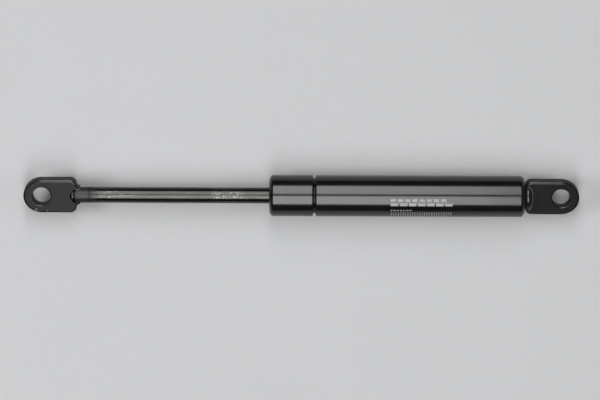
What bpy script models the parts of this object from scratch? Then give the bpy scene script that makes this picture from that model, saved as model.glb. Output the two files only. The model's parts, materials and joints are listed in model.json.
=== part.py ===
"""Gas strut stay: a sliding rod in a gas-filled tube, with a flat eye at each end.

The strut lies along X, rod at -X and tube at +X, fully extended. The origin is on its axis,
midway between the two eye holes, and the eyes' flat faces are level. Units are metres, +Z up.
"""

import math

import bmesh
import bpy
from mathutils import Matrix

MM = 0.001
SIDES = 32  # flats round every turned piece
TIP_STEPS = 10  # from the side of an eye to its tip
DOME_STEPS = 6  # from the side of a dome to its top

# Eyes
HOLE_TO_HOLE = 196.0 * MM  # between the eye holes, strut extended
EYE_HALF_WIDTH = 6.4 * MM
EYE_THICKNESS = 4.8 * MM
EYE_TIP = 6.85 * MM  # from the hole's centre to the end of the eye
EYE_HOLE_R = 3.4 * MM
EYE_HOLE_FLARE = 0.4 * MM
EYE_EDGE_R = 0.6 * MM
ROD_EYE_X = -HOLE_TO_HOLE / 2
TUBE_EYE_X = HOLE_TO_HOLE / 2
ROD_EYE_BASE = 13.25 * MM  # from the hole's centre to the base of the eye
ROD_EYE_CORNER_R = 3.0 * MM
TUBE_EYE_BASE = 13.3 * MM
TUBE_EYE_CORNER_R = 2.0 * MM
SOCKET_DEPTH = 2.55 * MM  # of the notch that the rod's socket makes in each flat face
SOCKET_MOUTH_R = 3.6 * MM
SOCKET_MOUTH_LENGTH = 0.9 * MM  # of the socket's widest stretch
SOCKET_CHAMFER = 0.4 * MM  # from that stretch into the cone below it
SOCKET_BOTTOM_R = 1.5 * MM
SOCKET_POCKET = 0.6 * MM  # below the notch, for the tip of the rod's pilot
FLARE_R = 4.3 * MM  # neck of the rod's eye, either side of the rod
FLARE_LENGTH = 1.1 * MM
FLARE_END_R = 3.15 * MM
FLARE_STEP = 0.2 * MM  # between the neck and the eye's round corner

# Tube
TUBE_R = 7.8 * MM
WALL = 1.05 * MM
BORE_R = TUBE_R - WALL
TUBE_START = -12.1 * MM
TUBE_END = 84.4 * MM
LIP_R = 2.0 * MM  # outer radius of the edge rolled over the guide
LIP_OPENING_R = 5.2 * MM
GROOVE_X = 4.8 * MM
GROOVE_DEPTH = 1.0 * MM
GROOVE_HALF_WIDTH = 1.0 * MM
BEAD_HEIGHT = 0.95 * MM  # of the groove's other side, inside the tube
BEAD_FOOT = 1.3 * MM  # half the bead's width at the wall
BEAD_TOP = 0.3 * MM  # half its width at the top
BOTTOM_R = 3.0 * MM  # outer radius of the bottom corner
BOTTOM_OPENING_R = 5.3 * MM

# Rod
ROD_R = 3.0 * MM
ROD_CLEARANCE = 0.05 * MM  # to what slides on the rod
WELD_GAP = 0.1 * MM  # between the rod and the eye that is welded to it
ROD_SHOULDER = -85.5 * MM  # where the rod's full size ends, inside the eye's socket
PILOT_START = -87.6 * MM  # tip of the pilot that is welded into the socket
PILOT_R = 1.3 * MM
PILOT_BASE_R = 1.8 * MM
RELIEF_R = 2.2 * MM  # between the weld bead and the rod's full size
WELD_BEAD_X = -86.4 * MM
WELD_BEAD_R = 2.6 * MM
WELD_BEAD_HALF_WIDTH = 0.4 * MM
WELD_BEAD_CREST = 0.15 * MM  # half the width of the bead's top
TAIL_R = 2.1 * MM  # turned-down end that carries the piston
TAIL_START = 6.2 * MM
PEEN_START = 11.75 * MM
PEEN_SHOULDER = 12.15 * MM
PEEN_R = 3.2 * MM
PEEN_TOP_R = 2.4 * MM
ROD_END = 12.55 * MM

# Guide and seals, by the X of each piece's outer face
FIT = 0.1 * MM  # between pieces that are fitted into each other
GUIDE_X = -11.7 * MM
GUIDE_LENGTH = 7.4 * MM
GUIDE_R = 6.65 * MM
GUIDE_CHAMFER = 0.95 * MM
GUIDE_NOSE = 0.8 * MM  # length of the nose inside the tube's opening
GUIDE_NOSE_R = 4.9 * MM
GUIDE_BORE_R = 3.62 * MM
GUIDE_GROOVE = 3.4 * MM  # where the groove for its O-ring starts
GUIDE_GROOVE_LENGTH = 1.5 * MM
WIPER_SEAT_R = 4.4 * MM
WIPER_SEAT_DEPTH = 1.5 * MM
WIPER_LENGTH = 1.25 * MM
WIPER_LIP = 0.3 * MM
O_RING_R = 0.48 * MM  # radius of an O-ring's section
O_RING_GROOVE = 1.1 * MM  # depth of the guide's groove
BACKUP_X = -4.2 * MM
BACKUP_LENGTH = 0.8 * MM
SEAL_X = -3.3 * MM
SEAL_LENGTH = 5.1 * MM
SEAL_HEEL = 1.9 * MM  # length of the seal's solid back
SEAL_LIP = 0.75 * MM  # thickness of its two lips at their edges
SEAL_LIP_ROOT = 1.4 * MM
SEAL_RELIEF = 0.15 * MM  # the bore is wider at the back
SUPPORT_X = 1.9 * MM
SUPPORT_LENGTH = 1.5 * MM
SUPPORT_CLEARANCE = 0.3 * MM  # to the rod
CHAMFER = 0.3 * MM  # on the outer edges of turned pieces

# Piston, by the X of each piece's outer face
STOP_X = 3.6 * MM
STOP_LENGTH = 2.5 * MM
STOP_R = 5.3 * MM
VALVE_DISC_X = 6.25 * MM
DISC_LENGTH = 0.6 * MM
VALVE_DISC_R = 6.2 * MM
PISTON_X = 6.95 * MM
PISTON_LENGTH = 3.4 * MM
PISTON_R = 6.4 * MM
RING_GROOVE = 0.8 * MM  # land on each side of the piston's groove
RING_GROOVE_R = 4.7 * MM
RING_X = 7.9 * MM
RING_LENGTH = 1.5 * MM
RING_INNER_R = 5.0 * MM
RING_OUTER_R = 6.68 * MM
LABYRINTH_X = 10.45 * MM
LABYRINTH_R = 5.9 * MM
RETAINER_X = 11.15 * MM
RETAINER_LENGTH = 0.5 * MM
RETAINER_R = 4.0 * MM

# End plug
PLUG_X = 81.0 * MM
PLUG_LENGTH = 2.15 * MM
PLUG_SEAT_R = 5.3 * MM
PLUG_SEAT_LENGTH = 1.05 * MM
PLUG_RING_R = 6.0 * MM  # centre of its O-ring's section
PLUG_FIT = 0.15 * MM
NECK_R = 5.15 * MM
NECK_START = 83.3 * MM
DOME_X = 84.9 * MM
DOME_LENGTH = 2.37 * MM


def clear_scene():
    for obj in list(bpy.data.objects):
        bpy.data.objects.remove(obj, do_unlink=True)


def material(name, colour, roughness, metallic=0.0):
    made = bpy.data.materials.new(name)
    made.use_nodes = True
    shader = made.node_tree.nodes["Principled BSDF"]
    shader.inputs["Base Color"].default_value = (*colour, 1.0)
    shader.inputs["Roughness"].default_value = roughness
    shader.inputs["Metallic"].default_value = metallic
    made.diffuse_color = (*colour, 1.0)
    return made


def body(name, x):
    """The empty that carries one moving body, on the strut's axis."""
    empty = bpy.data.objects.new(name, None)
    empty.location.x = x
    empty.empty_display_size = 5 * MM
    bpy.context.collection.objects.link(empty)
    return empty


def add_object(name, mesh, surface=None, parent=None, x=0.0):
    """An object whose own zero is at X = x on the strut's axis."""
    obj = bpy.data.objects.new(name, mesh)
    bpy.context.collection.objects.link(obj)
    obj.location.x = x - (parent.location.x if parent else 0.0)
    obj.parent = parent
    if surface:
        mesh.materials.append(surface)
        mesh.shade_smooth()
        mesh.set_sharp_from_angle(angle=math.radians(30))
    return obj


def arc(centre_x, centre_r, radius, start, end, steps=4):
    """Points of a profile's round corner, from one angle to another in degrees."""
    turns = [math.radians(start + (end - start) * n / steps) for n in range(steps + 1)]
    return [(centre_x + radius * math.cos(t), centre_r + radius * math.sin(t)) for t in turns]


def turned_mesh(name, profile, about="X"):
    """A closed (along, radius) profile turned about an axis, its flats at the stated radius."""
    bm = bmesh.new()
    half = math.pi / SIDES
    out = 1.0 / math.cos(half)
    points = [bm.verts.new((x, r * out * math.sin(half), r)) for x, r in profile]
    edges = [bm.edges.new(pair) for pair in zip(points, points[1:] + points[:1])]
    bmesh.ops.spin(
        bm,
        geom=points + edges,
        cent=(0, 0, 0),
        axis=(1, 0, 0),
        angle=math.tau,
        steps=SIDES,
        use_merge=True,
    )
    bmesh.ops.remove_doubles(bm, verts=bm.verts, dist=1e-7)
    if about == "Z":
        bmesh.ops.rotate(bm, verts=bm.verts, matrix=Matrix.Rotation(-math.pi / 2, 3, "Y"))
    bmesh.ops.recalc_face_normals(bm, faces=bm.faces)
    mesh = bpy.data.meshes.new(name)
    bm.to_mesh(mesh)
    bm.free()
    return mesh


def turned(name, profile, surface, parent, x):
    return add_object(name, turned_mesh(name, profile), surface, parent, x)


def ring_profile(length, inner_r, outer_r, chamfer=0.0):
    """A washer's section: its outer edges can be chamfered."""
    outer = [(0, outer_r), (length, outer_r)]
    if chamfer:
        outer = [
            (0, outer_r - chamfer),
            (chamfer, outer_r),
            (length - chamfer, outer_r),
            (length, outer_r - chamfer),
        ]
    return [(0, inner_r)] + outer + [(length, inner_r)]


def o_ring_profile(centre_r):
    return arc(0, centre_r, O_RING_R, 0, 315, steps=7)


def cutter(name, mesh, parent):
    """A shape that is only cut out of another."""
    obj = add_object(name, mesh)
    obj.parent = parent
    obj.hide_render = True
    obj.display_type = "WIRE"
    return obj


def combine(obj, other, operation):
    modifier = obj.modifiers.new(other.name, "BOOLEAN")
    modifier.operation = operation
    modifier.object = other
    modifier.solver = "EXACT"


def eye_outline(base, corner_r, flare):
    """The eye's plan, hole at (0, 0), its base at x = base. A flare is the neck beside the rod."""
    points = []
    corner_y = EYE_HALF_WIDTH - corner_r
    start = 0
    if flare:
        points = [(base + FLARE_LENGTH, FLARE_END_R), (base - FLARE_STEP, FLARE_R)]
        start = math.degrees(math.asin((FLARE_R + FLARE_STEP - corner_y) / corner_r))
    points += arc(base - corner_r, corner_y, corner_r, start, 90, steps=5)
    for n in range(TIP_STEPS):
        turn = math.pi / 2 * n / TIP_STEPS
        points.append((-EYE_TIP * math.sin(turn), EYE_HALF_WIDTH * math.cos(turn)))
    return points + [(-EYE_TIP, 0.0)] + [(x, -y) for x, y in reversed(points)]


def eye_plate_mesh(name, outline):
    bm = bmesh.new()
    face = bm.faces.new([bm.verts.new((x, y, -EYE_THICKNESS / 2)) for x, y in outline])
    grown = bmesh.ops.extrude_face_region(bm, geom=[face])["geom"]
    top = [v for v in grown if isinstance(v, bmesh.types.BMVert)]
    bmesh.ops.translate(bm, verts=top, vec=(0, 0, EYE_THICKNESS))
    rims = [e for e in bm.edges if abs(e.verts[0].co.z - e.verts[1].co.z) < EYE_THICKNESS / 2]
    bmesh.ops.bevel(
        bm, geom=rims, offset=EYE_EDGE_R, offset_type="OFFSET", segments=2, profile=0.5, affect="EDGES"
    )
    bmesh.ops.recalc_face_normals(bm, faces=bm.faces)
    mesh = bpy.data.meshes.new(name)
    bm.to_mesh(mesh)
    bm.free()
    return mesh


def hole_cutter(name, parent):
    """The eye's hole, flared at both faces."""
    top = EYE_THICKNESS / 2
    flared = EYE_HOLE_R + EYE_HOLE_FLARE
    half = [(top - EYE_HOLE_FLARE, EYE_HOLE_R), (top, flared), (top + MM, flared)]
    profile = [(-z, r) for z, r in reversed(half)] + half
    profile = [(profile[0][0], 0)] + profile + [(profile[-1][0], 0)]
    return cutter(name, turned_mesh(name, profile, about="Z"), parent)


def make_rod_eyelet(surface, parent):
    outline = eye_outline(ROD_EYE_BASE, ROD_EYE_CORNER_R, flare=True)
    eye = add_object("rod_eyelet", eye_plate_mesh("rod_eyelet", outline), surface, parent, ROD_EYE_X)
    combine(eye, hole_cutter("rod_eyelet_hole", eye), "DIFFERENCE")
    mouth = ROD_EYE_BASE + FLARE_LENGTH + MM
    bottom = ROD_EYE_BASE - SOCKET_DEPTH
    land = ROD_EYE_BASE - SOCKET_MOUTH_LENGTH
    bore = ROD_R + WELD_GAP
    socket = [
        (bottom - SOCKET_POCKET, 0),
        (bottom - SOCKET_POCKET, SOCKET_BOTTOM_R),
        (bottom, EYE_THICKNESS / 2),
        (land - SOCKET_CHAMFER, SOCKET_MOUTH_R - SOCKET_CHAMFER),
        (land, SOCKET_MOUTH_R),
        (ROD_EYE_BASE, SOCKET_MOUTH_R),
        (ROD_EYE_BASE + FLARE_STEP, bore),
        (mouth, bore),
        (mouth, 0),
    ]
    combine(eye, cutter("rod_eyelet_socket", turned_mesh("socket", socket), eye), "DIFFERENCE")
    return eye


def make_tube_eyelet(surface, parent):
    """The tube's eye, whose domed neck is welded to the end plug."""
    outline = [(-x, y) for x, y in reversed(eye_outline(TUBE_EYE_BASE, TUBE_EYE_CORNER_R, flare=False))]
    eye = add_object("tube_eyelet", eye_plate_mesh("tube_eyelet", outline), surface, parent, TUBE_EYE_X)
    dome = [
        (DOME_X + DOME_LENGTH * math.sin(t), NECK_R * math.cos(t))
        for t in (math.pi / 2 * n / DOME_STEPS for n in range(DOME_STEPS + 1))
    ]
    profile = [(NECK_START, 0), (NECK_START, NECK_R)] + dome
    profile = [(x - TUBE_EYE_X, max(r, 0.0)) for x, r in profile]
    neck = cutter("tube_eyelet_neck", turned_mesh("neck", profile), eye)
    combine(eye, neck, "UNION")
    combine(eye, hole_cutter("tube_eyelet_hole", eye), "DIFFERENCE")
    return eye


def make_pressure_tube(surface, parent):
    lip_x = TUBE_START + LIP_R
    lip_centre_r = TUBE_R - LIP_R
    bottom_x = TUBE_END - BOTTOM_R
    bottom_centre_r = TUBE_R - BOTTOM_R
    lean = math.degrees(math.asin((BOTTOM_OPENING_R - bottom_centre_r) / BOTTOM_R))
    inner_lean = math.degrees(math.asin((BOTTOM_OPENING_R - bottom_centre_r) / (BOTTOM_R - WALL)))
    outside = (
        [(TUBE_START, LIP_OPENING_R)]
        + arc(lip_x, lip_centre_r, LIP_R, 180, 90)
        + [
            (GROOVE_X - GROOVE_HALF_WIDTH, TUBE_R),
            (GROOVE_X, TUBE_R - GROOVE_DEPTH),
            (GROOVE_X + GROOVE_HALF_WIDTH, TUBE_R),
        ]
        + arc(bottom_x, bottom_centre_r, BOTTOM_R, 90, lean)
    )
    inside = (
        arc(bottom_x, bottom_centre_r, BOTTOM_R - WALL, inner_lean, 90)
        + [
            (GROOVE_X + BEAD_FOOT, BORE_R),
            (GROOVE_X + BEAD_TOP, BORE_R - BEAD_HEIGHT),
            (GROOVE_X - BEAD_TOP, BORE_R - BEAD_HEIGHT),
            (GROOVE_X - BEAD_FOOT, BORE_R),
        ]
        + arc(lip_x, lip_centre_r, LIP_R - WALL, 90, 180)
        + [(TUBE_START + WALL, LIP_OPENING_R)]
    )
    profile = [(x - TUBE_START, r) for x, r in outside + inside]
    return turned("pressure_tube", profile, surface, parent, TUBE_START)


def make_end_plug(steel, rubber, parent):
    centre_x = TUBE_END - BOTTOM_R - PLUG_X
    centre_r = TUBE_R - BOTTOM_R
    radius = BOTTOM_R - WALL - PLUG_FIT
    start = math.degrees(math.acos((PLUG_SEAT_LENGTH - centre_x) / radius))
    end = math.degrees(math.acos((PLUG_LENGTH - centre_x) / radius))
    profile = [(0, 0), (0, PLUG_SEAT_R), (PLUG_SEAT_LENGTH, PLUG_SEAT_R)]
    profile += arc(centre_x, centre_r, radius, start, end, steps=3) + [(PLUG_LENGTH, 0)]
    turned("tube_end_plug", profile, steel, parent, PLUG_X)
    seat = PLUG_X + PLUG_SEAT_LENGTH / 2
    turned("end_plug_o_ring", o_ring_profile(PLUG_RING_R), rubber, parent, seat)


def make_guide(steel, bronze, plastic, rubber, parent):
    groove_end = GUIDE_GROOVE + GUIDE_GROOVE_LENGTH
    profile = [
        (0, WIPER_SEAT_R),
        (0, GUIDE_NOSE_R),
        (GUIDE_NOSE, GUIDE_NOSE_R),
        (GUIDE_NOSE, GUIDE_R - GUIDE_CHAMFER),
        (GUIDE_NOSE + GUIDE_CHAMFER, GUIDE_R),
        (GUIDE_GROOVE, GUIDE_R),
        (GUIDE_GROOVE, GUIDE_R - O_RING_GROOVE),
        (groove_end, GUIDE_R - O_RING_GROOVE),
        (groove_end, GUIDE_R),
        (GUIDE_LENGTH, GUIDE_R),
        (GUIDE_LENGTH, GUIDE_BORE_R),
        (WIPER_SEAT_DEPTH, GUIDE_BORE_R),
        (WIPER_SEAT_DEPTH, WIPER_SEAT_R),
    ]
    turned("rod_guide", profile, steel, parent, GUIDE_X)
    ring_x = GUIDE_X + (GUIDE_GROOVE + groove_end) / 2
    turned("guide_o_ring", o_ring_profile(GUIDE_R - O_RING_R), rubber, parent, ring_x)
    bore = ROD_R + ROD_CLEARANCE
    liner = ring_profile(GUIDE_LENGTH - WIPER_SEAT_DEPTH - 2 * FIT, bore, GUIDE_BORE_R - FIT)
    turned("guide_liner", liner, bronze, parent, GUIDE_X + WIPER_SEAT_DEPTH + FIT)
    wiper = [
        (0, bore),
        (WIPER_LIP, WIPER_SEAT_R - FIT),
        (WIPER_LENGTH, WIPER_SEAT_R - FIT),
        (WIPER_LENGTH, bore + WIPER_LIP),
    ]
    turned("wiper_ring", wiper, plastic, parent, GUIDE_X + FIT)


def make_seals(steel, plastic, rubber, parent):
    bore = ROD_R + ROD_CLEARANCE
    backup = ring_profile(BACKUP_LENGTH, bore, GUIDE_R - FIT)
    turned("seal_backup_ring", backup, plastic, parent, BACKUP_X)
    seal = [
        (0, bore + SEAL_RELIEF),
        (0, GUIDE_R - FIT),
        (SEAL_LENGTH, GUIDE_R),
        (SEAL_LENGTH, GUIDE_R - SEAL_LIP),
        (SEAL_HEEL, GUIDE_R - SEAL_LIP_ROOT),
        (SEAL_HEEL, bore + SEAL_LIP_ROOT),
        (SEAL_LENGTH, bore + SEAL_LIP),
        (SEAL_LENGTH, bore),
    ]
    turned("rod_lip_seal", seal, rubber, parent, SEAL_X)
    washer = ring_profile(SUPPORT_LENGTH, ROD_R + SUPPORT_CLEARANCE, GUIDE_R - FIT, chamfer=CHAMFER)
    turned("seal_support_washer", washer, steel, parent, SUPPORT_X)


def make_rod(surface, parent):
    """The rod: its welded pilot and bead at the eye, its turned-down tail and peened end."""
    profile = [
        (PILOT_START, 0),
        (PILOT_START, PILOT_R),
        (WELD_BEAD_X - WELD_BEAD_HALF_WIDTH, PILOT_BASE_R),
        (WELD_BEAD_X - WELD_BEAD_CREST, WELD_BEAD_R),
        (WELD_BEAD_X + WELD_BEAD_CREST, WELD_BEAD_R),
        (WELD_BEAD_X + WELD_BEAD_HALF_WIDTH, RELIEF_R),
        (ROD_SHOULDER, RELIEF_R),
        (ROD_SHOULDER, ROD_R - CHAMFER),
        (ROD_SHOULDER + CHAMFER, ROD_R),
        (TAIL_START, ROD_R),
        (TAIL_START, TAIL_R),
        (PEEN_START, TAIL_R),
        (PEEN_START, PEEN_R),
        (PEEN_SHOULDER, PEEN_R),
        (ROD_END, PEEN_TOP_R),
        (ROD_END, 0),
    ]
    profile = [(x - PILOT_START, r) for x, r in profile]
    turned("piston_rod", profile, surface, parent, PILOT_START)


def make_piston(steel, aluminium, plastic, parent):
    stop = ring_profile(STOP_LENGTH, ROD_R + ROD_CLEARANCE, STOP_R, chamfer=CHAMFER)
    turned("extension_stop_ring", stop, plastic, parent, STOP_X)
    bore = TAIL_R + FIT
    turned("piston_washer", ring_profile(DISC_LENGTH, bore, VALVE_DISC_R), steel, parent, VALVE_DISC_X)
    piston = [
        (0, bore),
        (0, PISTON_R),
        (RING_GROOVE, PISTON_R),
        (RING_GROOVE, RING_GROOVE_R),
        (PISTON_LENGTH - RING_GROOVE, RING_GROOVE_R),
        (PISTON_LENGTH - RING_GROOVE, PISTON_R),
        (PISTON_LENGTH, PISTON_R),
        (PISTON_LENGTH, bore),
    ]
    turned("piston_body", piston, aluminium, parent, PISTON_X)
    disc = ring_profile(DISC_LENGTH, bore, LABYRINTH_R)
    turned("labyrinth_disc", disc, steel, parent, LABYRINTH_X)
    retainer = ring_profile(RETAINER_LENGTH, bore, RETAINER_R)
    turned("piston_retaining_washer", retainer, steel, parent, RETAINER_X)


def make_piston_ring(surface, parent):
    turned("piston_ring", ring_profile(RING_LENGTH, RING_INNER_R, RING_OUTER_R), surface, parent, RING_X)


def main():
    clear_scene()
    black_paint = material("satin_black_paint", (0.012, 0.012, 0.011), 0.32)
    eye_paint = material("black_eye_paint", (0.03, 0.031, 0.032), 0.42)
    dark_steel = material("dark_rod_steel", (0.16, 0.16, 0.15), 0.3, 1.0)
    steel = material("plain_steel", (0.5, 0.5, 0.5), 0.35, 1.0)
    bronze = material("bearing_bronze", (0.5, 0.33, 0.15), 0.4, 1.0)
    aluminium = material("piston_aluminium", (0.7, 0.7, 0.71), 0.35, 1.0)
    plastic = material("ring_plastic", (0.55, 0.54, 0.5), 0.45)
    rubber = material("seal_rubber", (0.02, 0.02, 0.02), 0.7)

    tube = body("tube", 0.0)
    ring = body("ring_slide", RING_X + RING_LENGTH / 2)
    rod = body("rod", ROD_EYE_X)

    make_pressure_tube(black_paint, tube)
    make_tube_eyelet(eye_paint, tube)
    make_end_plug(steel, rubber, tube)
    make_guide(steel, bronze, plastic, rubber, tube)
    make_seals(steel, plastic, rubber, tube)
    make_piston_ring(plastic, ring)
    make_rod(dark_steel, rod)
    make_rod_eyelet(eye_paint, rod)
    make_piston(steel, aluminium, plastic, rod)


main()
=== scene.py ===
"""The looks of the gas strut stay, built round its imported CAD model.

The strut lies along X on a pale floor, rod at -X and tube at +X. Lengths are metres, but those of
the printed marks and in materials are millimetres. Angles are degrees, but the camera's are radians.
"""

import json
import math

import bmesh
import bpy
from mathutils import Matrix, Vector


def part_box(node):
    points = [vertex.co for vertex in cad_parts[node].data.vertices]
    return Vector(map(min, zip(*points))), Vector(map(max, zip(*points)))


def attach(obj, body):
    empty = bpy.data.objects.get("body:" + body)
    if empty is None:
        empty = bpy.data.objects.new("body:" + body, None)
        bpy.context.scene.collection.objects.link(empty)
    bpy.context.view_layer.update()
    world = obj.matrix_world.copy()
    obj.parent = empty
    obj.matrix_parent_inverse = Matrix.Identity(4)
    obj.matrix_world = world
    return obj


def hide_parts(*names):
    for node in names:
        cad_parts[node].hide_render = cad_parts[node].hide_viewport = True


MM = 0.001
TURNS = 160  # segments round a turned piece
EYE_TURNS = 96  # segments round what is cut out of an eye, or joined to it
SHARP = 32.0  # edges that turn more than this stay sharp

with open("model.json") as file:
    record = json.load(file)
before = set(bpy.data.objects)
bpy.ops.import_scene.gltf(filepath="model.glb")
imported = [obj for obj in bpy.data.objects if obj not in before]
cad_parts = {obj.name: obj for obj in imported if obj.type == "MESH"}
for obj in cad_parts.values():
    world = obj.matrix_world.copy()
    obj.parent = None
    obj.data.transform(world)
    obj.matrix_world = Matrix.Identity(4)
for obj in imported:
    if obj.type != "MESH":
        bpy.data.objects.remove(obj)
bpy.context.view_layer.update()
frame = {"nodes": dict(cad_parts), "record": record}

# Places from the frame
tube_low, tube_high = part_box("pressure_tube")
rod_low, rod_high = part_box("piston_rod")
TUBE_R = tube_high.z
TUBE_START = tube_low.x
TUBE_END = tube_high.x
ROD_START = rod_low.x
ROD_END = rod_high.x
OPENINGS = {o["name"]: o["box_m"] for o in frame["record"]["physics"]["openings"]}
ROD_EYE_X = sum(corner[0] for corner in OPENINGS["rod_eye_hole"]) / 2
TUBE_EYE_X = sum(corner[0] for corner in OPENINGS["tube_eye_hole"]) / 2

# Eyes
EYE_HALF_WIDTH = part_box("rod_eyelet")[1].y
EYE_THICKNESS = 4.8 * MM
EYE_TIP = ROD_EYE_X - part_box("rod_eyelet")[0].x
EYE_HOLE_R = 3.4 * MM
EYE_HOLE_FLARE = 0.6 * MM
EYE_ROLL_R = 1.6 * MM  # the stamping's rolled-over upper edge: a wide curve, then a tight one
EYE_ROLL = 35.0  # degrees that the wide curve turns
EYE_EDGE_R = 0.3 * MM
ROD_EYE_BASE = 13.25 * MM  # from the hole's centre
ROD_EYE_CORNER_R = 2.4 * MM
ROD_EYE_FLARE = 1.2 * MM  # how far its neck flares out along the rod
ROD_EYE_GAP = 0.12 * MM  # between the flare and the rod
TUBE_EYE_BASE = 13.3 * MM  # from the hole's centre
TUBE_EYE_CORNER_R = 2.0 * MM
NECK_R = 5.15 * MM  # the tube eye's domed neck
NECK_CREST_X = 85.2 * MM
NECK_BACK_R = 4.0 * MM  # of its end against the tube's bottom
NECK_CREST = (0.5 * MM, 0.7 * MM)  # the rounded crest's reach along X and outwards
NECK_RISE = 0.025 * MM  # from the crest to where the dome starts
DOME_X = 85.6 * MM
DOME_REACH = 1.93 * MM
BEAD_R = 0.26 * MM  # the bead where the dome meets the eye's faces
BEAD_TURN = 88.0  # how far it runs to either side of the axis

# Rod
ROD_R = 3.0 * MM
SOCKET_R = ROD_R + 0.08 * MM  # the rod eye's hole for the rod
BEAD_X = ROD_START + 1.2 * MM  # the weld bead round the rod's tip
SHOULDER_X = ROD_START + 2.1 * MM
SHOULDER_R = 0.3 * MM
PISTON_SEAT_X = 6.2 * MM  # from here to the riveted end the rod is thinner
PISTON_SEAT_R = 2.1 * MM
RIVET_LENGTH = 0.8 * MM
RIVET_R = 3.2 * MM

# Tube
WALL = 1.05 * MM
LIP = (1.55 * MM, 2.0 * MM)  # the rolled edge's reach along X and inwards
LIP_OPENING_R = 5.2 * MM
LIP_EDGE = 0.1 * MM  # how far the rolled edge's rim turns in
BOTTOM = (1.8 * MM, 2.5 * MM)  # the formed-over bottom's reach along X and inwards
GROOVE_X = 4.9 * MM
GROOVE_FLAT = 0.04 * MM  # half the width of its bottom
GROOVE_HALF_WIDTH = 0.875 * MM
GROOVE_SHOULDER_R = 0.35 * MM
GROOVE_ROOT_R = 0.25 * MM
GROOVE_WALL = 72.5  # degrees from the tube's wall

# Marks printed on the tube: each row's end, a mark's length and the gap after it, all in
# millimetres along X, then the angles from +Z towards -Y that it lies between
MARKS_START = 33.6
MARKS_END = 56.9
MARK_ROWS = (
    (MARKS_END, 1.9, 0.8, -8.0, -0.5),
    (MARKS_END, 2.9, 0.5, 4.0, 12.5),
    (MARKS_START + 8.5, 0.7, 0.5, 25.5, 29.5),
    (MARKS_END, 0.45, 0.45, 36.5, 40.0),
    (MARKS_END, 0.45, 0.45, 46.0, 50.0),
)
INK_LOW = 0.01 * MM  # below the tube's surface
INK_HIGH = 0.012 * MM  # above it

# Finishes of the rod and its eye: places are along X, in millimetres
SCUFFED = ((-76.8, -67.0, 0.8), (-33.5, -21.5, 1.25))  # start, end and strength
DARKER = (-60.0, -40.0)  # the rod darkens from one to the other
DULL = (-79.6, -76.5)  # from dull to polished
RING = (-80.7, -80.2, -79.8, -79.0)  # a dark ring's two soft edges
WELD = (-85.9, -85.8)  # from weld to rod
STEEL = (0.038, 0.0385, 0.0365)
STEEL_WORN = (0.092, 0.0925, 0.088)
STEEL_SHADE = (0.03, 0.03, 0.029)
STEEL_SCUFF = (0.155, 0.155, 0.146)
STEEL_DULL = (0.063, 0.0622, 0.06)
STEEL_RING = (0.036, 0.036, 0.035)
STEEL_WELD = (0.16, 0.16, 0.16)
NICKS = (  # on the rod's eye: place along X and Y from its hole's centre, and radius
    (-2.1, -5.2, 0.27),
    (2.15, -5.7, 0.09),
)
NICK_COLOUR = (0.32, 0.32, 0.31)

# Studio
CAMERA_LEAN = math.radians(17.0)  # the camera stands this far off +Z, towards +Y
CAMERA_ROLL = math.radians(0.23)
CAMERA_FAR = 1.3
VIEW_WIDTH = 226.6 * MM  # of the picture, at the strut
AIM = (-0.5 * MM, -1.66 * MM)  # the picture's middle, to the right of the zero point and above it
SENSOR = 36.0  # mm
FLOOR_REACH = 0.26
PAPER = ((0.493, 0.497, 0.504), (0.509, 0.513, 0.521))
PAPER_FIBRE = (0.518, 0.522, 0.53)
TOWARDS = Vector((0, math.sin(CAMERA_LEAN), math.cos(CAMERA_LEAN)))  # from the strut to the camera
PICTURE_UP = Vector((0, math.cos(CAMERA_LEAN), -math.sin(CAMERA_LEAN)))
PICTURE_RIGHT = Vector((1, 0, 0))
PANEL_FAR = 1.3
PANEL_SIDE = -15 * MM  # to the picture's right
PANEL_WIDTH = 0.39
FILL_WIDTH = 1.0
FILLS = (("fill_left", 12.5, -1.7), ("fill_right", 3.5, 1.7))  # radiance, and to the picture's right
WORLD_DIFFUSE = 0.03  # what lights rough surfaces
WORLD_GLOSSY = (0.035, 0.13)  # in reflections, all round and towards the strut's two ends
WORLD_ENDS = (0.35, 0.8)  # where the one fades into the other: the direction's part along X
WORLD_SEEN = 0.605  # to the camera
WORLD_COLOUR = (0.99, 1.0, 1.02)


# ---------------------------------------------------------------- shapes


def arc(centre, radius, start, end, steps):
    """Points of a round stretch of an outline, from one angle to another in degrees."""
    turns = [math.radians(start + (end - start) * n / steps) for n in range(steps + 1)]
    return [(centre[0] + radius * math.cos(t), centre[1] + radius * math.sin(t)) for t in turns]


def oval(centre, reach, start, end, steps):
    """Points of a stretch of an ellipse, whose reach along and across differ."""
    return [
        (centre[0] + reach[0] * x, centre[1] + reach[1] * y)
        for x, y in arc((0.0, 0.0), 1.0, start, end, steps)
    ]


def smooth(mesh):
    """Smooth shading, apart from the sharp edges."""
    mesh.shade_smooth()
    mesh.set_sharp_from_angle(angle=math.radians(SHARP))


def finish_mesh(bm, name):
    """The mesh made of what bm holds, which is used up."""
    bmesh.ops.remove_doubles(bm, verts=bm.verts, dist=1e-7)
    bmesh.ops.recalc_face_normals(bm, faces=bm.faces)
    mesh = bpy.data.meshes.new(name)
    bm.to_mesh(mesh)
    bm.free()
    smooth(mesh)
    return mesh


def link_object(name, data):
    """An object in the scene, for a mesh, a light or a camera."""
    obj = bpy.data.objects.new(name, data)
    bpy.context.scene.collection.objects.link(obj)
    return obj


def add_object(name, mesh, surface):
    """A visible object with its material."""
    obj = link_object(name, mesh)
    mesh.materials.append(surface)
    return obj


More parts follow.
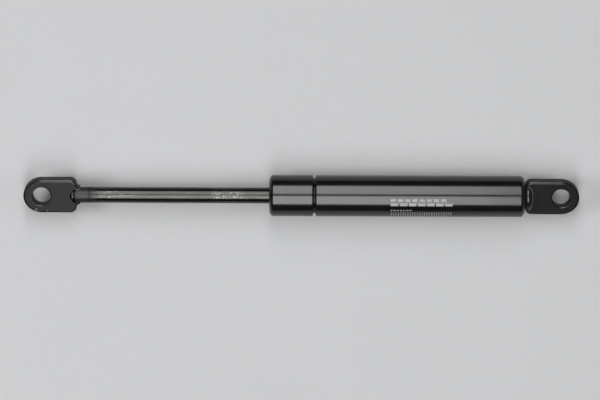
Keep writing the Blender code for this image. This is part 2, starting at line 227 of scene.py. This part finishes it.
def turned_mesh(name, profile, turns=TURNS, about="X"):
    """A closed (along, radius) profile turned about X, or about Z through the zero point."""
    bm = bmesh.new()
    points = [bm.verts.new((x, 0.0, r)) for x, r in profile]
    edges = [bm.edges.new(pair) for pair in zip(points, points[1:] + points[:1])]
    bmesh.ops.spin(
        bm,
        geom=points + edges,
        cent=(0, 0, 0),
        axis=(1, 0, 0),
        angle=math.tau,
        steps=turns,
        use_merge=True,
    )
    if about == "Z":
        bmesh.ops.rotate(bm, verts=bm.verts, matrix=Matrix.Rotation(-math.pi / 2, 3, "Y"))
    return finish_mesh(bm, name)


def combine(obj, other, operation):
    """Cuts or joins another shape, which is used up."""
    modifier = obj.modifiers.new(other.name, "BOOLEAN")
    modifier.operation = operation
    modifier.object = other
    modifier.solver = "EXACT"
    graph = bpy.context.evaluated_depsgraph_get()
    mesh = bpy.data.meshes.new_from_object(obj.evaluated_get(graph), depsgraph=graph)
    obj.modifiers.clear()
    obj.data = mesh
    bpy.data.objects.remove(other, do_unlink=True)


def even_shading(obj):
    """Lets the large flat faces set the shading next to rounded edges."""
    modifier = obj.modifiers.new("even_shading", "WEIGHTED_NORMAL")
    modifier.keep_sharp = True


# ---------------------------------------------------------------- materials


class Nodes:
    """A material's node tree, with short calls for the nodes that these materials use."""

    def __init__(self, name):
        self.material = bpy.data.materials.new(name)
        self.material.use_nodes = True
        self.tree = self.material.node_tree
        self.shader = self.tree.nodes["Principled BSDF"]
        self.place = self.tree.nodes.new("ShaderNodeTexCoord").outputs["Object"]

    def link(self, source, target):
        """Joins an output to an input."""
        self.tree.links.new(source, target)

    def scaled(self, stretch):
        """The object's own coordinates in millimetres, divided by a stretch along each axis."""
        node = self.tree.nodes.new("ShaderNodeMapping")
        node.inputs["Scale"].default_value = [1.0 / (MM * s) for s in stretch]
        self.link(self.place, node.inputs["Vector"])
        return node.outputs["Vector"]

    def noise(self, size, stretch=(1, 1, 1), detail=3.0, rough=0.5):
        """Noise whose patches are about that many millimetres across."""
        node = self.tree.nodes.new("ShaderNodeTexNoise")
        node.inputs["Scale"].default_value = 1.0 / size
        node.inputs["Detail"].default_value = detail
        node.inputs["Roughness"].default_value = rough
        self.link(self.scaled(stretch), node.inputs["Vector"])
        return node.outputs["Fac"]

    def ranged(self, value, low, high, out_low=0.0, out_high=1.0):
        """A value from low to high as one from out_low to out_high, held at the ends."""
        node = self.tree.nodes.new("ShaderNodeMapRange")
        node.inputs["From Min"].default_value = low
        node.inputs["From Max"].default_value = high
        node.inputs["To Min"].default_value = out_low
        node.inputs["To Max"].default_value = out_high
        self.link(value, node.inputs["Value"])
        return node.outputs["Result"]

    def math(self, operation, *values):
        """The result of a sum, each value a number or an output."""
        node = self.tree.nodes.new("ShaderNodeMath")
        node.operation = operation
        for socket, value in zip(node.inputs, values):
            if isinstance(value, (int, float)):
                socket.default_value = value
            else:
                self.link(value, socket)
        return node.outputs["Value"]

    def mix(self, factor, first, second):
        """One colour fading into another, each a colour or an output."""
        node = self.tree.nodes.new("ShaderNodeMix")
        node.data_type = "RGBA"
        self.link(factor, node.inputs["Factor"])
        for socket, value in ((node.inputs[6], first), (node.inputs[7], second)):
            if isinstance(value, tuple):
                socket.default_value = (*value, 1.0)
            else:
                self.link(value, socket)
        return node.outputs[2]

    def bump(self, height, depth):
        """Relief of a height from 0 to 1, that many millimetres deep."""
        node = self.tree.nodes.new("ShaderNodeBump")
        node.inputs["Strength"].default_value = 1.0
        node.inputs["Distance"].default_value = depth * MM
        self.link(height, node.inputs["Height"])
        return node.outputs["Normal"]

    def away(self, spot):
        """The distance from a place about the origin, both in millimetres."""
        node = self.tree.nodes.new("ShaderNodeVectorMath")
        node.operation = "DISTANCE"
        self.link(self.scaled((1, 1, 1)), node.inputs[0])
        node.inputs[1].default_value = spot
        return node.outputs["Value"]

    def axis(self, name):
        """One of the object's own coordinates, in millimetres."""
        node = self.tree.nodes.new("ShaderNodeSeparateXYZ")
        self.link(self.scaled((1, 1, 1)), node.inputs["Vector"])
        return node.outputs[name]

    def normal(self, name):
        """One part of the surface's own direction, from -1 to 1."""
        place = self.tree.nodes.new("ShaderNodeTexCoord")
        node = self.tree.nodes.new("ShaderNodeSeparateXYZ")
        self.link(place.outputs["Normal"], node.inputs["Vector"])
        return node.outputs[name]

    def set(self, **values):
        """Sets the shader's inputs: underscores stand for spaces."""
        for name, value in values.items():
            socket = self.shader.inputs[name.replace("_", " ")]
            if isinstance(value, tuple):
                socket.default_value = (*value, 1.0)
            elif isinstance(value, (int, float)):
                socket.default_value = value
            else:
                self.link(value, socket)


def tube_paint():
    """Satin black paint with faint orange peel, slightly cloudy in colour and gloss."""
    n = Nodes("satin_black_tube_paint")
    cloud = n.noise(9.0, detail=4.0)
    fine = n.noise(0.5, detail=2.0)
    colour = n.mix(n.ranged(cloud, 0.35, 0.7), (0.0035, 0.0035, 0.0033), (0.0055, 0.0055, 0.0052))
    rough = n.math("ADD", n.ranged(cloud, 0.3, 0.7, 0.17, 0.2), n.ranged(fine, 0.3, 0.7, -0.01, 0.01))
    peel = n.bump(n.noise(1.1, detail=2.0), 0.0025)
    n.set(Base_Color=colour, Roughness=rough, Normal=peel, IOR=1.5)
    return n.material


def eye_paint(name, base, matt, nicks=()):
    """Satin black paint over a stamping, matt on its faces and walls and glossier on its rolled edge.

    Each nick in its upper face is a place along X and Y, in millimetres, and its radius.
    """
    n = Nodes(name)
    cloud = n.noise(5.0, detail=4.0)
    fine = n.noise(0.35, detail=3.0)
    dark, light = [(shade, shade * 1.02, shade) for shade in (base * 0.8, base * 1.25)]
    colour = n.mix(n.ranged(cloud, 0.35, 0.7), dark, light)
    top = EYE_THICKNESS / 2 / MM
    for x, y, size in nicks:
        ragged = n.ranged(fine, 0.2, 0.8, -0.25, 0.25)
        away = n.math("ADD", n.away((x, y, top)), ragged)
        colour = n.mix(n.ranged(away, size, size + 0.12, 1.0, 0.0), colour, NICK_COLOUR)
    height = n.math("ABSOLUTE", n.axis("Z"))
    upright = n.math("ABSOLUTE", n.normal("Z"))
    on_plate = n.ranged(height, top + 0.02, top + 0.1, 1.0, 0.0)
    flat = n.math("MULTIPLY", n.ranged(upright, 0.985, 0.999), on_plate)
    wall, rolled = 0.7, 0.2
    rough = n.ranged(upright, 0.6, 0.8, wall, rolled)
    rough = n.math("ADD", rough, n.ranged(flat, 0.0, 1.0, 0.0, matt - rolled))
    rough = n.math("ADD", rough, n.ranged(fine, 0.3, 0.7, -0.03, 0.03))
    pits = n.bump(n.noise(0.45, detail=3.0), 0.005)
    n.set(Base_Color=colour, Roughness=rough, Normal=pits, IOR=1.5, Specular_IOR_Level=0.5)
    return n.material


def rod_steel():
    """Dark nitrided steel, streaked lengthwise, scuffed bright in places and dull beside the eye."""
    n = Nodes("dark_rod_steel")
    streak = n.noise(0.35, stretch=(16, 1, 1), detail=4.0, rough=0.6)
    patch = n.noise(2.2, stretch=(4, 1, 1), detail=4.0, rough=0.6)
    scuff = n.noise(0.42, stretch=(2.2, 1, 1), detail=3.0, rough=0.65)
    along = n.axis("X")
    worn = n.math("MULTIPLY", n.ranged(streak, 0.42, 0.72), n.ranged(patch, 0.35, 0.7))
    zones = 0.0
    for start, end, strength in SCUFFED:
        rise = n.ranged(along, start - 1.0, start + 1.0, 0.0, strength)
        fall = n.ranged(along, end - 3.0, end + 1.0, 1.0, 0.0)
        zones = n.math("ADD", zones, n.math("MULTIPLY", rise, fall))
    scuffs = n.math("MULTIPLY", zones, n.ranged(scuff, 0.5, 0.72))
    colour = n.mix(worn, STEEL, STEEL_WORN)
    colour = n.mix(n.ranged(along, *DARKER, 0.0, 0.36), colour, STEEL_SHADE)
    colour = n.mix(scuffs, colour, STEEL_SCUFF)
    dull = n.ranged(along, *DULL, 1.0, 0.0)
    colour = n.mix(dull, colour, STEEL_DULL)
    ring = n.math("MULTIPLY", n.ranged(along, *RING[:2]), n.ranged(along, *RING[2:], 1.0, 0.0))
    colour = n.mix(ring, colour, STEEL_RING)
    weld = n.ranged(along, *WELD, 1.0, 0.0)
    colour = n.mix(weld, colour, STEEL_WELD)
    matt = n.math("MULTIPLY", n.math("SUBTRACT", dull, weld), 0.24)
    rough = n.math("ADD", n.ranged(streak, 0.3, 0.7, 0.17, 0.26), matt)
    n.set(Base_Color=colour, Metallic=1.0, Roughness=rough, Normal=n.bump(streak, 0.0015))
    return n.material


def metal(name, low, high, roughness):
    """Turned metal: fine rings of tool marks across the axis."""
    n = Nodes(name)
    rings = n.noise(0.12, stretch=(1, 40, 40), detail=2.0)
    cloud = n.noise(2.0, detail=3.0)
    n.set(
        Base_Color=n.mix(n.ranged(cloud, 0.3, 0.7), low, high),
        Metallic=1.0,
        Roughness=n.ranged(rings, 0.3, 0.7, roughness - 0.06, roughness + 0.06),
        Normal=n.bump(rings, 0.003),
    )
    return n.material


def moulded(name, low, high, roughness):
    """Moulded plastic or rubber, or ink: a fine grain and slight clouding."""
    n = Nodes(name)
    fine = n.noise(0.3, detail=3.0)
    cloud = n.noise(3.0, detail=3.0)
    n.set(
        Base_Color=n.mix(n.ranged(cloud, 0.3, 0.7), low, high),
        Roughness=n.ranged(fine, 0.3, 0.7, roughness - 0.05, roughness + 0.05),
        Normal=n.bump(fine, 0.004),
    )
    return n.material


def floor_paper():
    """Pale paper that fades into the equally pale surroundings, and is seen only from above."""
    n = Nodes("pale_floor_paper")
    cloud = n.noise(60.0, detail=2.0)
    fibre = n.noise(1.0, detail=4.0)
    tone = n.mix(n.ranged(cloud, 0.3, 0.7), *PAPER)
    tone = n.mix(n.ranged(fibre, 0.35, 0.65), tone, PAPER_FIBRE)
    n.set(Base_Color=tone, Roughness=0.9, Specular_IOR_Level=0.2)
    reach = FLOOR_REACH / MM
    fade = n.ranged(n.away((0, 0, 0)), reach * 0.65, reach * 0.97)
    below = n.tree.nodes.new("ShaderNodeNewGeometry").outputs["Backfacing"]
    mix = n.tree.nodes.new("ShaderNodeMixShader")
    n.link(n.math("MAXIMUM", fade, below), mix.inputs["Fac"])
    n.link(n.shader.outputs["BSDF"], mix.inputs[1])
    n.link(n.tree.nodes.new("ShaderNodeBsdfTransparent").outputs["BSDF"], mix.inputs[2])
    n.link(mix.outputs["Shader"], n.tree.nodes["Material Output"].inputs["Surface"])
    return n.material


# ---------------------------------------------------------------- pieces


def groove_profile():
    """The rolled groove: half of it, down to the middle of its bottom, and the same mirrored."""
    shoulder = (-GROOVE_HALF_WIDTH, TUBE_R - GROOVE_SHOULDER_R)
    half = arc(shoulder, GROOVE_SHOULDER_R, 90, 90 - GROOVE_WALL, 8)
    lean = math.radians(GROOVE_WALL)
    run = GROOVE_HALF_WIDTH - GROOVE_FLAT - (GROOVE_SHOULDER_R + GROOVE_ROOT_R) * math.sin(lean)
    fall = run * math.tan(lean)
    root_r = half[-1][1] - fall + GROOVE_ROOT_R * math.cos(lean)
    half += arc((-GROOVE_FLAT, root_r), GROOVE_ROOT_R, 270 - GROOVE_WALL, 270, 6)
    whole = half + [(-x, r) for x, r in reversed(half)]
    return [(GROOVE_X + x, r) for x, r in whole]


def make_tube(surface):
    """The tube with its rolled edge at the rod's end, its groove and its formed-over bottom."""
    lip = (TUBE_START + LIP[0], TUBE_R - LIP[1])
    bottom = (TUBE_END - BOTTOM[0], TUBE_R - BOTTOM[1])
    lip_inside = [LIP[0] - WALL * 0.6, LIP[1] - WALL]
    bottom_inside = [BOTTOM[0] - WALL, BOTTOM[1] - WALL]
    groove = groove_profile()
    outside = (
        [(TUBE_START + 0.25 * MM, LIP_OPENING_R - LIP_EDGE)]
        + [(TUBE_START + 0.08 * MM, LIP_OPENING_R)]
        + [(TUBE_START, LIP_OPENING_R + 0.15 * MM)]
        + oval(lip, LIP, 180, 90, 24)
        + groove
        + oval(bottom, BOTTOM, 90, 0, 24)
        + [(TUBE_END, bottom[1]), (TUBE_END - WALL, bottom[1])]
    )
    inside = (
        oval(bottom, bottom_inside, 0, 90, 8)[1:]
        + [(x, r - WALL) for x, r in reversed(groove)]
        + oval(lip, lip_inside, 90, 180, 8)
        + [(TUBE_START + WALL * 0.8, LIP_OPENING_R - LIP_EDGE)]
    )
    tube = add_object("strut_tube", turned_mesh("strut_tube", outside + inside), surface)
    even_shading(tube)
    return tube


def make_rod(surface):
    """The rod: its tip and weld bead in the eye, its polished length, the piston's seat and rivet."""
    profile = [
        (ROD_START, 0.0),
        (ROD_START, 1.1 * MM),
        (ROD_START + 0.2 * MM, 1.3 * MM),
        (ROD_START + 0.8 * MM, 1.8 * MM),
    ]
    profile += arc((BEAD_X, 2.25 * MM), 0.38 * MM, 200, -20, 12)[1:]
    profile += [(SHOULDER_X, 2.2 * MM)]
    profile += arc((SHOULDER_X + SHOULDER_R, ROD_R - SHOULDER_R), SHOULDER_R, 180, 90, 5)
    chamfer = 0.2 * MM
    profile += [
        (PISTON_SEAT_X - chamfer, ROD_R),
        (PISTON_SEAT_X, ROD_R - chamfer),
        (PISTON_SEAT_X, PISTON_SEAT_R),
        (ROD_END - RIVET_LENGTH, PISTON_SEAT_R),
        (ROD_END - RIVET_LENGTH, RIVET_R),
    ]
    round_r = RIVET_LENGTH / 2
    profile += arc((ROD_END - round_r, RIVET_R - round_r), round_r, 90, 20, 4)
    profile += [(ROD_END, 1.8 * MM), (ROD_END, 0.0)]
    rod = add_object("strut_rod", turned_mesh("strut_rod", profile), surface)
    even_shading(rod)
    return rod


def eye_outline(base, corner_r, neck):
    """The eye's plan about its hole, tip at -x and base at x = base. A neck flares beside the rod."""
    corner_y = EYE_HALF_WIDTH - corner_r
    points = []
    if neck:
        flare = (ROD_EYE_FLARE, corner_y - ROD_R - ROD_EYE_GAP)
        points = oval((base + flare[0], corner_y), flare, 270, 180, 8)[:-1]
    points += arc((base - corner_r, corner_y), corner_r, 0, 90, 14)
    points += oval((0.0, 0.0), (EYE_TIP, EYE_HALF_WIDTH), 90, 180, 32)[:-1]
    return points + [(-EYE_TIP, 0.0)] + [(x, -y) for x, y in reversed(points)]


def inset(outline, distance):
    """The outline moved inwards by a distance; it runs anticlockwise."""
    moved = []
    for before, here, after in zip(outline[-1:] + outline[:-1], outline, outline[1:] + outline[:1]):
        here = Vector(here)
        first = (here - Vector(before)).normalized()
        second = (Vector(after) - here).normalized()
        along = (first + second).normalized()
        inward = Vector((-along.y, along.x))
        moved.append(here + inward * distance / max(along.dot(first), 0.5))
    return moved


def edge_profile(turn, radius, bend, tight, steps):
    """Insets and depths of a rounded edge, from the flat face to the side wall.

    It turns to one angle at one radius, then on to the bend's angle at a tighter one.
    """
    points = []
    for n in range(steps + 1):
        a = math.radians(turn * n / steps)
        points.append((radius * math.sin(a), radius * (1 - math.cos(a))))
    start = math.radians(turn)
    for n in range(1, steps + 1):
        a = math.radians(turn + (bend - turn) * n / steps)
        points.append((
            points[steps][0] + tight * (math.sin(a) - math.sin(start)),
            points[steps][1] + tight * (math.cos(start) - math.cos(a)),
        ))
    reach = points[-1][0]
    return [(reach - x, depth) for x, depth in points]


def eye_plate(name, outline):
    """The outline as a plate, rolled over at its upper edge and lightly rounded at its lower one."""
    top = EYE_THICKNESS / 2
    upper = edge_profile(EYE_ROLL, EYE_ROLL_R, 90.0, EYE_EDGE_R, 6)
    lower = edge_profile(45.0, EYE_EDGE_R, 90.0, EYE_EDGE_R, 2)
    levels = [(gap, top - depth) for gap, depth in upper]
    levels += [(gap, depth - top) for gap, depth in reversed(lower)]
    bm = bmesh.new()
    rings = [[bm.verts.new((x, y, z)) for x, y in inset(outline, gap)] for gap, z in levels]
    bm.faces.new(rings[0])
    bm.faces.new(list(reversed(rings[-1])))
    count = len(outline)
    for ring, below in zip(rings, rings[1:]):
        for n in range(count):
            after = (n + 1) % count
            bm.faces.new((ring[n], below[n], below[after], ring[after]))
    return finish_mesh(bm, name)


def hole_shape(name):
    """What the eye's hole takes away, with a rounded rim at both faces."""
    top = EYE_THICKNESS / 2
    half = arc((top - EYE_HOLE_FLARE, EYE_HOLE_R + EYE_HOLE_FLARE), EYE_HOLE_FLARE, -90, 0, 6)
    half += [(top + MM, EYE_HOLE_R + EYE_HOLE_FLARE)]
    profile = [(-z, r) for z, r in reversed(half)] + half
    profile = [(profile[0][0], 0.0)] + profile + [(profile[-1][0], 0.0)]
    return link_object(name, turned_mesh(name, profile, turns=EYE_TURNS, about="Z"))


def finish_eye(eye, x):
    """Shades an eye and moves it to X = x, in its vertices."""
    smooth(eye.data)
    even_shading(eye)
    eye.data.transform(Matrix.Translation((x, 0, 0)))
    return eye


def make_rod_eye(surface):
    """The rod's eye, with the countersunk socket that shows the rod's tip."""
    outline = eye_outline(ROD_EYE_BASE, ROD_EYE_CORNER_R, neck=True)
    eye = add_object("rod_eye", eye_plate("rod_eye", outline), surface)
    combine(eye, hole_shape("rod_eye_cut"), "DIFFERENCE")
    base = ROD_EYE_BASE
    socket = [
        (base - 3.15 * MM, 0.0),
        (base - 3.15 * MM, 1.5 * MM),
        (base - 2.55 * MM, EYE_THICKNESS / 2),
        (base - 1.7 * MM, 2.95 * MM),
        (base - 1.3 * MM, 3.25 * MM),
        (base - 0.9 * MM, 3.6 * MM),
        (base, 3.6 * MM),
        (base + 0.2 * MM, SOCKET_R),
        (base + 2.1 * MM, SOCKET_R),
        (base + 2.1 * MM, 0.0),
    ]
    cut = turned_mesh("socket", socket, turns=EYE_TURNS)
    combine(eye, link_object("socket", cut), "DIFFERENCE")
    return finish_eye(eye, ROD_EYE_X)


def swept_bead(x, reach, half_width, z):
    """A round bead bent along the half-ellipse where the domed neck meets the plate's face."""
    bm = bmesh.new()
    steps = 40
    sides = 10
    rings = []
    for n in range(steps + 1):
        turn = math.radians(BEAD_TURN * (2 * n / steps - 1))
        centre = Vector((x + reach * math.cos(turn), half_width * math.sin(turn), z))
        out = Vector((math.cos(turn) / reach, math.sin(turn) / half_width, 0)).normalized()
        ring = []
        for k in range(sides):
            angle = math.tau * k / sides
            offset = out * math.cos(angle) + Vector((0, 0, math.sin(angle)))
            ring.append(bm.verts.new(centre + offset * BEAD_R))
        rings.append(ring)
    for first, second in zip(rings, rings[1:]):
        for k in range(sides):
            after = (k + 1) % sides
            bm.faces.new((first[k], second[k], second[after], first[after]))
    bm.faces.new(rings[0])
    bm.faces.new(list(reversed(rings[-1])))
    return finish_mesh(bm, "bead")


def make_tube_eye(surface):
    """The tube's eye with its domed neck, which is welded to the tube's bottom."""
    mirrored = eye_outline(TUBE_EYE_BASE, TUBE_EYE_CORNER_R, neck=False)
    outline = [(-x, y) for x, y in reversed(mirrored)]
    eye = add_object("tube_eye", eye_plate("tube_eye", outline), surface)
    crest = NECK_CREST_X - TUBE_EYE_X
    dome = DOME_X - TUBE_EYE_X
    profile = [
        (crest - 1.85 * MM, 0.0),
        (crest - 1.85 * MM, NECK_BACK_R),
        (crest - 0.9 * MM, NECK_BACK_R + 0.1 * MM),
    ]
    profile += oval((crest, NECK_R - NECK_RISE - NECK_CREST[1]), NECK_CREST, 170, 90, 8)
    for share in (0.25, 0.5, 0.75):
        profile.append((crest + (dome - crest) * share, NECK_R + NECK_RISE * (share - 1)))
    profile += [(x, max(r, 0.0)) for x, r in oval((dome, 0.0), (DOME_REACH, NECK_R), 90, 0, 24)]
    neck = turned_mesh("neck", profile, turns=EYE_TURNS)
    combine(eye, link_object("neck", neck), "UNION")
    left = math.sqrt(1 - (EYE_THICKNESS / 2 / NECK_R) ** 2)  # of the dome's size, at the eye's faces
    for side in (-1, 1):
        bead = swept_bead(dome, DOME_REACH * left, NECK_R * left, side * EYE_THICKNESS / 2)
        combine(eye, link_object("bead", bead), "UNION")
    combine(eye, hole_shape("tube_eye_cut"), "DIFFERENCE")
    return finish_eye(eye, TUBE_EYE_X)


def make_marks(surface):
    """Plain printed bars and ticks on the tube, as thin patches of ink."""
    bm = bmesh.new()
    steps = 4

    def patch(x0, x1, a0, a1):
        """A patch from X = x0 to x1 in millimetres, and from angle a0 to a1."""
        rings = []
        for radius in (TUBE_R - INK_LOW, TUBE_R + INK_HIGH):
            for x in (x0 * MM, x1 * MM):
                row = []
                for n in range(steps + 1):
                    turn = math.radians(a0 + (a1 - a0) * n / steps)
                    row.append(bm.verts.new((x, -radius * math.sin(turn), radius * math.cos(turn))))
                rings.append(row)
        inner0, inner1, outer0, outer1 = rings
        for n in range(steps):
            bm.faces.new((outer0[n], outer0[n + 1], outer1[n + 1], outer1[n]))
            bm.faces.new((inner0[n], inner1[n], inner1[n + 1], inner0[n + 1]))
            bm.faces.new((inner0[n], inner0[n + 1], outer0[n + 1], outer0[n]))
            bm.faces.new((inner1[n], outer1[n], outer1[n + 1], inner1[n + 1]))
        bm.faces.new((inner0[0], outer0[0], outer1[0], inner1[0]))
        bm.faces.new((inner0[-1], inner1[-1], outer1[-1], outer0[-1]))

    for end, length, gap, a0, a1 in MARK_ROWS:
        x = MARKS_START
        while x + length <= end:
            patch(x, x + length, a0, a1)
            x += length + gap
    return add_object("tube_marks", finish_mesh(bm, "tube_marks"), surface)


# ---------------------------------------------------------------- assembly


def dress_nodes(surfaces):
    """Gives each CAD node that stays its finer material."""
    chosen = {
        "tube_end_plug": "steel",
        "seal_support_washer": "steel",
        "piston_washer": "steel",
        "labyrinth_disc": "steel",
        "piston_retaining_washer": "steel",
        "rod_guide": "guide",
        "guide_liner": "bronze",
        "piston_body": "aluminium",
        "wiper_ring": "wiper",
        "seal_backup_ring": "plastic",
        "piston_ring": "plastic",
        "extension_stop_ring": "plastic",
        "end_plug_o_ring": "rubber",
        "guide_o_ring": "rubber",
        "rod_lip_seal": "rubber",
    }
    for node, key in chosen.items():
        for slot in frame["nodes"][node].material_slots:
            slot.material = surfaces[key]


def make_floor():
    """A sheet under the tube, square to the camera: the strut lies rolled on it by CAMERA_LEAN."""
    bm = bmesh.new()
    bmesh.ops.create_grid(bm, x_segments=8, y_segments=8, size=FLOOR_REACH)
    mesh = bpy.data.meshes.new("floor")
    bm.to_mesh(mesh)
    bm.free()
    floor = add_object("floor", mesh, floor_paper())
    floor.location = -TOWARDS * TUBE_R
    floor.rotation_euler = Matrix((PICTURE_RIGHT, PICTURE_UP, TOWARDS)).transposed().to_euler()


def make_camera():
    """A camera square above the strut as it lies, turned by the photograph's slight roll."""
    data = bpy.data.cameras.new("camera")
    data.sensor_width = SENSOR
    data.lens = SENSOR * CAMERA_FAR / VIEW_WIDTH
    data.clip_start = 0.05
    data.clip_end = 20.0
    camera = link_object("camera", data)
    aim = PICTURE_RIGHT * AIM[0] + PICTURE_UP * AIM[1]
    camera.location = aim + TOWARDS * CAMERA_FAR
    turn = Matrix((PICTURE_RIGHT, PICTURE_UP, TOWARDS)).transposed()
    turn = turn @ Matrix.Rotation(CAMERA_ROLL, 3, "Z")
    camera.rotation_euler = turn.to_euler()
    bpy.context.scene.camera = camera


def make_panel(name, first, last, radiance, side=PANEL_SIDE, width=PANEL_WIDTH):
    """A soft panel above the strut, as far off as PANEL_FAR.

    It runs between two angles from the camera's axis towards the picture's top, side to the
    picture's right of the zero point.
    """
    ends = []
    for angle in (first, last):
        turn = math.radians(angle)
        ends.append(TOWARDS * math.cos(turn) + PICTURE_UP * math.sin(turn))
    middle = (ends[0] + ends[1]) / 2 * PANEL_FAR + PICTURE_RIGHT * side
    length = (ends[1] - ends[0]).length * PANEL_FAR
    light = bpy.data.lights.new(name, "AREA")
    light.shape = "RECTANGLE"
    light.size = width
    light.size_y = length
    light.energy = radiance * math.pi * width * length
    obj = link_object(name, light)
    obj.location = middle
    along = (ends[1] - ends[0]).normalized()
    facing = PICTURE_RIGHT.cross(along)
    if facing.dot(middle) < 0:
        along = -along
        facing = -facing
    obj.rotation_euler = Matrix((PICTURE_RIGHT, along, facing)).transposed().to_euler()
    obj.visible_camera = False
    return obj


def make_world():
    """Surroundings that are dim to the strut, and about as pale as the floor to the camera."""
    world = bpy.data.worlds.new("studio")
    world.use_nodes = True
    tree = world.node_tree
    path = tree.nodes.new("ShaderNodeLightPath")
    place = tree.nodes.new("ShaderNodeTexCoord")
    split = tree.nodes.new("ShaderNodeSeparateXYZ")
    tree.links.new(place.outputs["Generated"], split.inputs["Vector"])
    along = tree.nodes.new("ShaderNodeMath")
    along.operation = "ABSOLUTE"
    tree.links.new(split.outputs["X"], along.inputs[0])
    ends = tree.nodes.new("ShaderNodeMapRange")
    ends.inputs["From Min"].default_value = WORLD_ENDS[0]
    ends.inputs["From Max"].default_value = WORLD_ENDS[1]
    ends.inputs["To Min"].default_value = WORLD_GLOSSY[0]
    ends.inputs["To Max"].default_value = WORLD_GLOSSY[1]
    tree.links.new(along.outputs["Value"], ends.inputs["Value"])
    glossy = tree.nodes.new("ShaderNodeMix")
    glossy.inputs[2].default_value = WORLD_DIFFUSE
    tree.links.new(path.outputs["Is Glossy Ray"], glossy.inputs["Factor"])
    tree.links.new(ends.outputs["Result"], glossy.inputs[3])
    seen = tree.nodes.new("ShaderNodeMix")
    seen.inputs[3].default_value = WORLD_SEEN
    tree.links.new(path.outputs["Is Camera Ray"], seen.inputs["Factor"])
    tree.links.new(glossy.outputs[0], seen.inputs[2])
    back = tree.nodes["Background"]
    tree.links.new(seen.outputs[0], back.inputs["Strength"])
    back.inputs["Color"].default_value = (*WORLD_COLOUR, 1.0)
    bpy.context.scene.world = world


def node_surfaces():
    """The materials of the CAD nodes that stay."""
    return {
        "steel": metal("turned_steel", (0.42, 0.42, 0.43), (0.55, 0.55, 0.56), 0.34),
        "guide": metal("guide_steel", (0.16, 0.16, 0.16), (0.24, 0.24, 0.24), 0.42),
        "bronze": metal("bearing_bronze", (0.44, 0.28, 0.12), (0.56, 0.38, 0.18), 0.38),
        "aluminium": metal("turned_aluminium", (0.62, 0.62, 0.63), (0.74, 0.74, 0.75), 0.32),
        "plastic": moulded("ring_plastic", (0.5, 0.49, 0.45), (0.58, 0.57, 0.53), 0.45),
        "wiper": moulded("wiper_plastic", (0.02, 0.02, 0.02), (0.03, 0.03, 0.03), 0.5),
        "rubber": moulded("seal_rubber", (0.015, 0.015, 0.015), (0.024, 0.024, 0.023), 0.6),
    }


def make_lights():
    """Two long panels that show in the strut, and two side fills that don't."""
    make_panel("panel_top", 8.5, 56.0, 5.4)
    make_panel("panel_bottom", -2.0, -49.0, 6.7)
    for name, radiance, side in FILLS:
        fill = make_panel(name, -21.0, 10.0, radiance, side=side, width=FILL_WIDTH)
        fill.visible_glossy = False


def main():
    surfaces = node_surfaces()
    nicks = [(ROD_EYE_X / MM + x, y, size) for x, y, size in NICKS]

    tube = make_tube(tube_paint())
    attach(tube, "tube")
    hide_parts("pressure_tube")

    rod = make_rod(rod_steel())
    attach(rod, "rod")
    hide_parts("piston_rod")

    rod_eye_paint = eye_paint("satin_black_rod_eye_paint", 0.013, 0.7, nicks)
    rod_eye = make_rod_eye(rod_eye_paint)
    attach(rod_eye, "rod")
    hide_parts("rod_eyelet")

    tube_eye_paint = eye_paint("satin_black_tube_eye_paint", 0.007, 0.95)
    tube_eye = make_tube_eye(tube_eye_paint)
    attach(tube_eye, "tube")
    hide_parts("tube_eyelet")

    ink = moulded("pale_ink", (0.3, 0.31, 0.315), (0.4, 0.41, 0.42), 0.5)
    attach(make_marks(ink), "tube")

    dress_nodes(surfaces)
    make_floor()
    make_camera()
    make_lights()
    make_world()
    bpy.context.scene.view_settings.view_transform = "Standard"


main()
